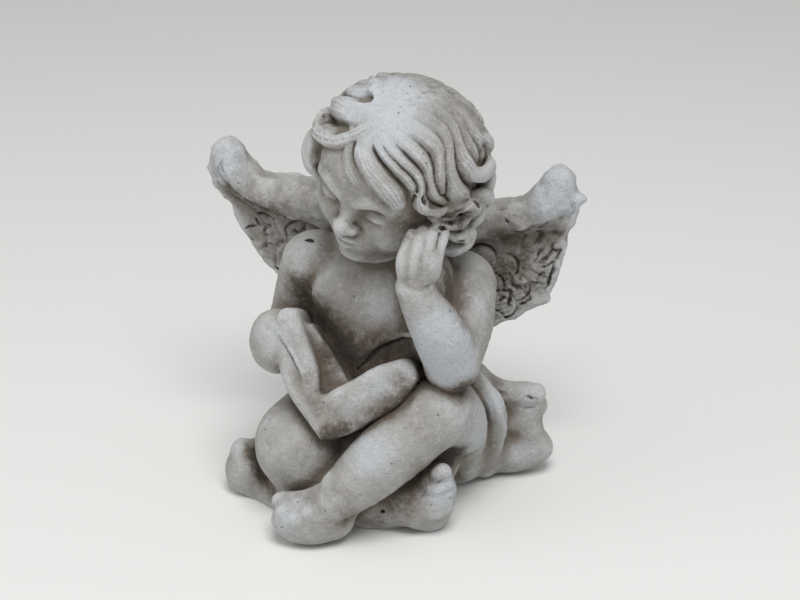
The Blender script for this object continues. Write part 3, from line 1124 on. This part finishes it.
def cast_stone():
    """Cast stone: cement and fine sand poured in a mould, then left outdoors. To the eye it is matt and grey
    with fine grain and pinholes from trapped air, paler and a little blue where it is worn, with brown dirt
    in the hollows and near black in the creases. Its patterns' sizes are in millimetres. Real sand is finer
    than 1 mm, and it is drawn as coarse as it needs to be to show."""
    strand_width, pinhole_spacing = 1.9, 8.5
    material = bpy.data.materials.new("weathered cast stone")
    material.use_nodes = True
    tree = material.node_tree
    shader = tree.nodes["Principled BSDF"]
    place = {"Vector": (node(tree, "ShaderNodeTexCoord"), "Object")}
    made = {}
    for name, size, detail in (("grain", 1.1, 2), ("sand", 2.6, 3), ("mottle", 9, 4), ("cloud", 34, 4)):
        settings = {"Scale": 1000 / size, "Detail": detail, "Roughness": 0.65}
        made[name] = (node(tree, "ShaderNodeTexNoise", settings, place), "Fac")
    for name in ("crease", "hollow", "shelter", "earth", "bleached", "ink", "comb", "combed"):
        made[name] = (node(tree, "ShaderNodeAttribute", {"attribute_name": name}), "Fac")
    settings = {"Scale": 1000 / pinhole_spacing, "Randomness": 1.0}
    made["pinholes"] = (node(tree, "ShaderNodeTexVoronoi", settings, place), "Distance")
    # each is worked out from the ones before: its name, its operation, and its terms
    for name, operation, *terms in (
        # strands of hair: a wave across each lock, which wanders
        ("wander", "MULTIPLY", "mottle", 14.0),
        ("phase", "MULTIPLY_ADD", "comb", 2 * math.pi / strand_width, "wander"),
        ("wave", "SINE", "phase"),
        ("shown", "MULTIPLY", "cloud", "combed"),
        ("strand", "MULTIPLY", "wave", "shown"),
        # dirt in hollows, stains of earth with broken edges, wear, and bleaching
        ("rough hollow", "MULTIPLY_ADD", "mottle", 0.55, "hollow"),
        ("dirt", "MULTIPLY_ADD", "shelter", 0.45, "rough hollow"),
        ("fine", "MULTIPLY_ADD", "sand", 0.9, -0.5),
        ("patchy", "MULTIPLY_ADD", "mottle", 1.8, "fine"),
        ("stain", "MULTIPLY", "earth", "patchy"),
        ("wear", "MULTIPLY_ADD", "cloud", -0.5, "rough hollow"),
        ("bleach", "MULTIPLY", "bleached", "cloud"),
    ):
        numbers = {i: term for i, term in enumerate(terms) if term not in made}
        links = {i: made[term] for i, term in enumerate(terms) if term in made}
        made[name] = (node(tree, "ShaderNodeMath", {"operation": operation, **numbers}, links), 0)
    pale = node(tree, "ShaderNodeMapRange", {1: 0.3, 2: 0.7}, {0: made["mottle"]})
    greys = {"data_type": "RGBA", 6: linear("#7C7973"), 7: linear("#B0AEA9")}
    colour = node(tree, "ShaderNodeMix", greys, {0: (pale, 0)})
    # each layer of colour: where it starts, where it is full, its greatest share, and its colour
    for name, low, high, most, code in (
        ("cloud", 0.52, 0.7, 0.45, "#78726A"),
        ("wear", 0.02, -0.32, 0.8, "#C3C4C5"),
        ("bleach", 0.06, 0.52, 0.85, "#BFC4CA"),
        ("strand", 0.05, 0.7, 0.42, "#6A625A"),
        ("grain", 0.5, 0.68, 0.3, "#6F6B66"),
        ("sand", 0.45, 0.3, 0.3, "#CFCECB"),
        ("dirt", 0.26, 0.62, 0.85, "#675C50"),
        ("stain", 0.08, 1.0, 0.88, "#605448"),
        ("stain", 0.6, 1.5, 0.8, "#322B25"),
        ("crease", 0.08, 0.4, 0.85, "#3A322B"),
        ("ink", 0.16, 0.7, 0.94, "#29231E"),
        ("pinholes", 0.07, 0.045, 0.7, "#4A443E"),
    ):
        ramp = {"interpolation_type": "SMOOTHSTEP", 1: low, 2: high, 4: most}
        share = node(tree, "ShaderNodeMapRange", ramp, {0: made[name]})
        layer = {"data_type": "RGBA", 7: linear(code)}
        colour = node(tree, "ShaderNodeMix", layer, {0: (share, 0), 6: (colour, 2)})
    tree.links.new(colour.outputs[2], shader.inputs["Base Color"])
    made["pit"] = (node(tree, "ShaderNodeMapRange", {1: 0.04, 2: 0.08}, {0: made["pinholes"]}), 0)
    below = {}
    # each layer of relief: its strength, and its height in metres
    for name, strength, height in (
        ("strand", 0.6, -0.0004),
        ("pit", 0.8, 0.0006),
        ("mottle", 0.6, 0.0012),
        ("sand", 0.8, 0.001),
        ("grain", 0.8, 0.0005),
    ):
        settings = {"Strength": strength, "Distance": height}
        relief = node(tree, "ShaderNodeBump", settings, {"Height": made[name], **below})
        below = {"Normal": (relief, 0)}
    tree.links.new(relief.outputs[0], shader.inputs["Normal"])
    shader.inputs["Roughness"].default_value = 0.86
    shader.inputs["IOR"].default_value = 1.5
    return material


def plain(name, code, roughness):
    """A surface of one even colour, for the floor."""
    material = bpy.data.materials.new(name)
    material.use_nodes = True
    shader = material.node_tree.nodes["Principled BSDF"]
    shader.inputs["Base Color"].default_value = linear(code)
    shader.inputs["Roughness"].default_value = roughness
    return material


putto = statue()
putto.data.materials.append(cast_stone())
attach(putto, "root")
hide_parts("putto_statue")

# The view of the photograph: turned 12 degrees to the figure's left and 25 degrees down, 1.1 m away, with the
# middle of the picture 110 mm up and 6 mm to the right
AZIMUTH, ELEVATION, DISTANCE = math.radians(12), math.radians(25), 1.1
LENS = 89.1
right = np.array((math.cos(AZIMUTH), math.sin(AZIMUTH), 0))
level = math.cos(ELEVATION)
back = np.array((math.sin(AZIMUTH) * level, -math.cos(AZIMUTH) * level, math.sin(ELEVATION)))
up = np.cross(back, right)
target = 0.0056 * right + np.array((0, 0, 0.1097))
camera = bpy.data.objects.new("camera", bpy.data.cameras.new("camera"))
camera.data.lens = LENS
axes = np.stack((right, up, back), 1)
rows = [[*row, place] for row, place in zip(axes, target + DISTANCE * back)]
camera.matrix_world = Matrix(rows + [[0, 0, 0, 1]])
bpy.context.scene.collection.objects.link(camera)
bpy.context.scene.camera = camera

# A pale floor, 6 m square
WIDE = 3
corners = [(-WIDE, -WIDE, 0), (WIDE, -WIDE, 0), (WIDE, WIDE, 0), (-WIDE, WIDE, 0)]
floor = bpy.data.objects.new("floor", mesh_of("floor", corners, [(0, 1, 2), (0, 2, 3)]))
bpy.context.scene.collection.objects.link(floor)
floor.data.materials.append(plain("pale floor", "#E8E8E6", 0.9))

# A white studio with two soft lamps
world = bpy.data.worlds.new("studio")
world.use_nodes = True
white = world.node_tree.nodes["Background"]
white.inputs["Color"].default_value = linear("#FFFFFF")
white.inputs["Strength"].default_value = 0.4
bpy.context.scene.world = world
bpy.context.scene.view_settings.view_transform = "Standard"


def lamp(name, place, size, power):
    """A square lamp that faces the target: its size in metres and its power in watts."""
    data = bpy.data.lights.new(name, "AREA")
    data.size = size
    data.energy = power
    made = bpy.data.objects.new(name, data)
    bpy.context.scene.collection.objects.link(made)
    away = np.array(place, float) - target
    made.location = place
    made.rotation_euler = Vector(away).to_track_quat("Z", "Y").to_euler()


lamp("key light", (0.3, -0.7, 1.7), 0.9, 22)
lamp("fill light", (-1.2, -0.7, 0.8), 1.2, 4)
